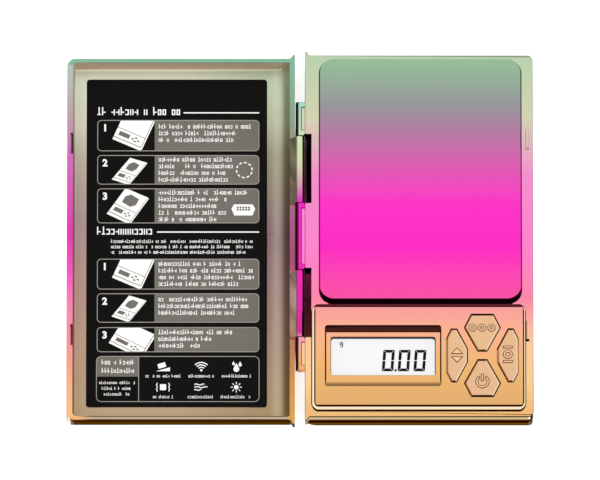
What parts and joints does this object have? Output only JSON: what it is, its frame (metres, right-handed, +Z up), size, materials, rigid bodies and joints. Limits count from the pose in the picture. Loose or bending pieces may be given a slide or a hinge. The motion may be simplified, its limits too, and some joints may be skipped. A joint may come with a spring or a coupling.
{
  "type": "digital pocket scale",
  "caption": "Folding pocket scale opened flat: hinged tray lid, square weighing platform, raised control panel with a display and faceted keys.",
  "frame": {"origin": "middle of the opened scale at table level, under the hinge", "axes": "+Z up, +Y along the hinge towards the far edge, +X from the hinge towards the body's free side"},
  "size_m": [0.149, 0.1226, 0.0147],
  "materials": {
    "plated_case": "vacuum-plated mirror finish, green to magenta to gold",
    "plated_lid": "vacuum-plated mirror finish, green to magenta to gold",
    "plated_platform": "satin plated finish, green to magenta",
    "plated_keys": "plated mirror finish, salmon to gold",
    "label_film": "printed black film",
    "display_glass": "pale grey display",
    "clear_window": "clear",
    "steel": "nickel-plated steel",
    "beam_aluminium": "milled",
    "gauge_film": "amber polyimide film",
    "board_green": "green solder mask",
    "black_plastic": "moulded",
    "white_plastic": "moulded, translucent white",
    "capacitor_ceramic": "fired ceramic",
    "nickel_can": "pressed nickel-plated can",
    "contact_rubber": "layered conductive rubber",
    "contact_brass": "gold-plated spring brass",
    "foot_rubber": "moulded"
  },
  "bodies": {
    "case": {"top_frame": "plated_case", "bottom_shell": "plated_case", "hinge_pin": "steel", "load_cell": "beam_aluminium", "load_cell_screws": "steel", "strain_gauges": "gauge_film", "gauge_ribbon": "gauge_film", "circuit_board": "board_green", "controller_chip": "black_plastic", "crystal": "nickel_can", "board_capacitors": "capacitor_ceramic", "board_screws": "steel", "display_window": "clear_window", "lcd_glass": "display_glass", "lcd_holder": "white_plastic", "zebra_strips": "contact_rubber", "light_guide": "white_plastic", "backlight_led": "white_plastic", "key_switches": "nickel_can", "coin_cells": "steel", "cell_contacts": "contact_brass", "rubber_feet": "foot_rubber", "case_screws": "steel"},
    "lid": {"lid_shell": "plated_lid", "instruction_label": "label_film"},
    "platform": {"platform": "plated_platform", "platform_carrier": "black_plastic", "platform_screws": "steel"},
    "door": {"battery_door": "plated_case"},
    "count": {"count_key": "plated_keys", "count_plunger": "black_plastic"},
    "mode": {"mode_key": "plated_keys", "mode_plunger": "black_plastic"},
    "tare": {"tare_key": "plated_keys", "tare_plunger": "black_plastic"},
    "power": {"power_key": "plated_keys", "power_plunger": "black_plastic"}
  },
  "joints": [
    {"name": "lid_hinge", "type": "hinge", "parent": "case", "child": "lid", "pos_m": [0, 0, 0.01], "axis": [0, 1, 0], "range_deg": [0, 180]},
    {"name": "platform_sink", "type": "slide", "parent": "case", "child": "platform", "axis": [0, 0, -1], "range_m": [0, 0.0003], "stiffness_N_per_m": 20000, "deforming": ["load_cell"]},
    {"name": "door_slide", "type": "slide", "parent": "case", "child": "door", "axis": [0, -1, 0], "range_m": [0, 0.028]},
    {"name": "count_press", "type": "slide", "parent": "case", "child": "count", "axis": [0, 0, -1], "range_m": [0, 0.00035], "stiffness_N_per_m": 1500},
    {"name": "mode_press", "type": "slide", "parent": "case", "child": "mode", "axis": [0, 0, -1], "range_m": [0, 0.00035], "stiffness_N_per_m": 1500},
    {"name": "tare_press", "type": "slide", "parent": "case", "child": "tare", "axis": [0, 0, -1], "range_m": [0, 0.00035], "stiffness_N_per_m": 1500},
    {"name": "power_press", "type": "slide", "parent": "case", "child": "power", "axis": [0, 0, -1], "range_m": [0, 0.00035], "stiffness_N_per_m": 1500}
  ]
}
